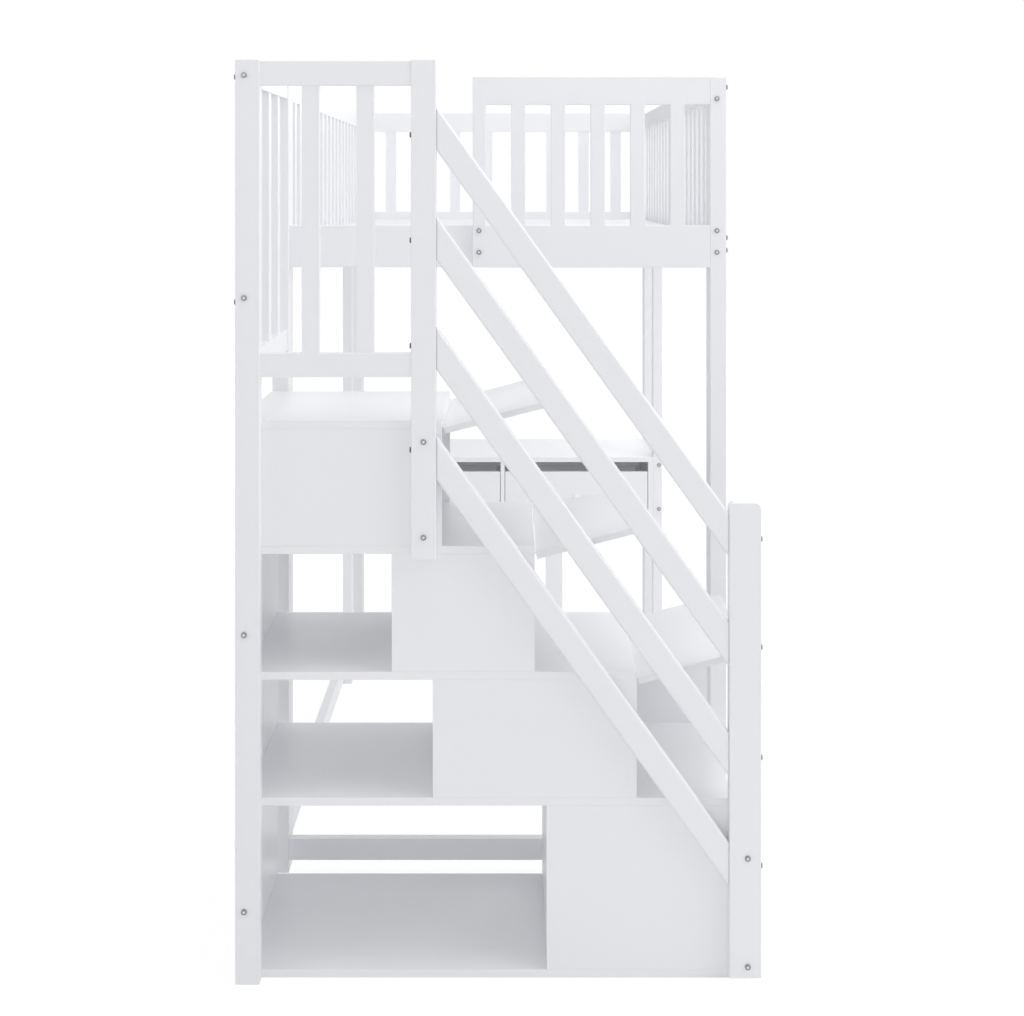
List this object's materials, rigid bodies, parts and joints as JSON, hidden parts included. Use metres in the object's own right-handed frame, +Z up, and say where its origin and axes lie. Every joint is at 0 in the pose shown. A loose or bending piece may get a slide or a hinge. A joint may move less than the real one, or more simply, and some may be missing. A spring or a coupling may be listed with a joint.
{
  "type": "loft bed with storage stairs",
  "caption": "Raised bed frame with guard rails, a flight of box stairs with flap lockers and open shelves at one end, and a desk with drawers under the other end.",
  "frame": {"origin": "middle of the footprint, on the floor", "axes": "+X across the bed, towards the foot of the stairs; +Y along the bed, from the stairs to the far end; +Z up"},
  "size_m": [1.056, 2.547, 1.851],
  "materials": {
    "painted_wood": "white satin paint on solid wood",
    "painted_board": "white satin paint on board",
    "hinge_steel": "zinc plated",
    "slat_wood": "white painted slats on tapes"
  },
  "bodies": {
    "frame": {"tall_post": "painted_wood", "landing_post": "painted_wood", "newel_post": "painted_wood", "handrail_1": "painted_wood", "handrail_2": "painted_wood", "handrail_3": "painted_wood", "handrail_4": "painted_wood", "landing_guard": "painted_wood", "landing_side_guard": "painted_wood", "near_post_left": "painted_wood", "near_post_right": "painted_wood", "far_post_left": "painted_wood", "far_post_right": "painted_wood", "mid_post_left": "painted_wood", "mid_post_right": "painted_wood", "side_rail_left": "painted_wood", "side_rail_right": "painted_wood", "near_end_rail": "painted_wood", "far_end_rail": "painted_wood", "long_guard_left": "painted_wood", "long_guard_right": "painted_wood", "near_guard": "painted_wood", "far_guard": "painted_wood", "near_floor_rail": "painted_wood", "long_floor_rail_left": "painted_wood", "long_floor_rail_right": "painted_wood", "desk_leg_left": "painted_wood", "desk_leg_right": "painted_wood", "stair_side_panel": "painted_board", "base_board": "painted_board", "tread_1": "painted_board", "tread_2": "painted_board", "tread_3": "painted_board", "platform_board": "painted_board", "box_front_1": "painted_board", "box_back_1": "painted_board", "partition_1": "painted_board", "box_front_2": "painted_board", "box_back_2": "painted_board", "partition_2": "painted_board", "box_front_3": "painted_board", "box_back_3": "painted_board", "partition_3": "painted_board", "box_front_4": "painted_board", "box_back_4": "painted_board", "riser_1": "painted_board", "desktop": "painted_board", "desk_case": "painted_board", "flap_hinge_2": "hinge_steel", "flap_hinge_3": "hinge_steel", "flap_hinge_4": "hinge_steel", "bed_slats": "slat_wood"},
    "flap_2_body": {"flap_2": "painted_board"},
    "flap_3_body": {"flap_3": "painted_board"},
    "flap_4_body": {"flap_4": "painted_board"},
    "drawer_left_body": {"drawer_left": "painted_board", "drawer_knob_left": "painted_wood"},
    "drawer_right_body": {"drawer_right": "painted_board", "drawer_knob_right": "painted_wood"}
  },
  "joints": [
    {"name": "flap_2_swing", "type": "hinge", "parent": "frame", "child": "flap_2_body", "pos_m": [0.28136, -1.0055, 0.59884], "axis": [0, 1, 0], "range_deg": [0, 104.5]},
    {"name": "flap_3_swing", "type": "hinge", "parent": "frame", "child": "flap_3_body", "pos_m": [0.07536, -1.0055, 0.85284], "axis": [0, 1, 0], "range_deg": [0, 104.5]},
    {"name": "flap_4_swing", "type": "hinge", "parent": "frame", "child": "flap_4_body", "pos_m": [-0.11264, -1.0055, 1.10684], "axis": [0, 1, 0], "range_deg": [0, 104.5]},
    {"name": "drawer_left_slide", "type": "slide", "parent": "frame", "child": "drawer_left_body", "axis": [0, -1, 0], "range_m": [0, 0.26]},
    {"name": "drawer_right_slide", "type": "slide", "parent": "frame", "child": "drawer_right_body", "axis": [0, -1, 0], "range_m": [0, 0.26]}
  ]
}
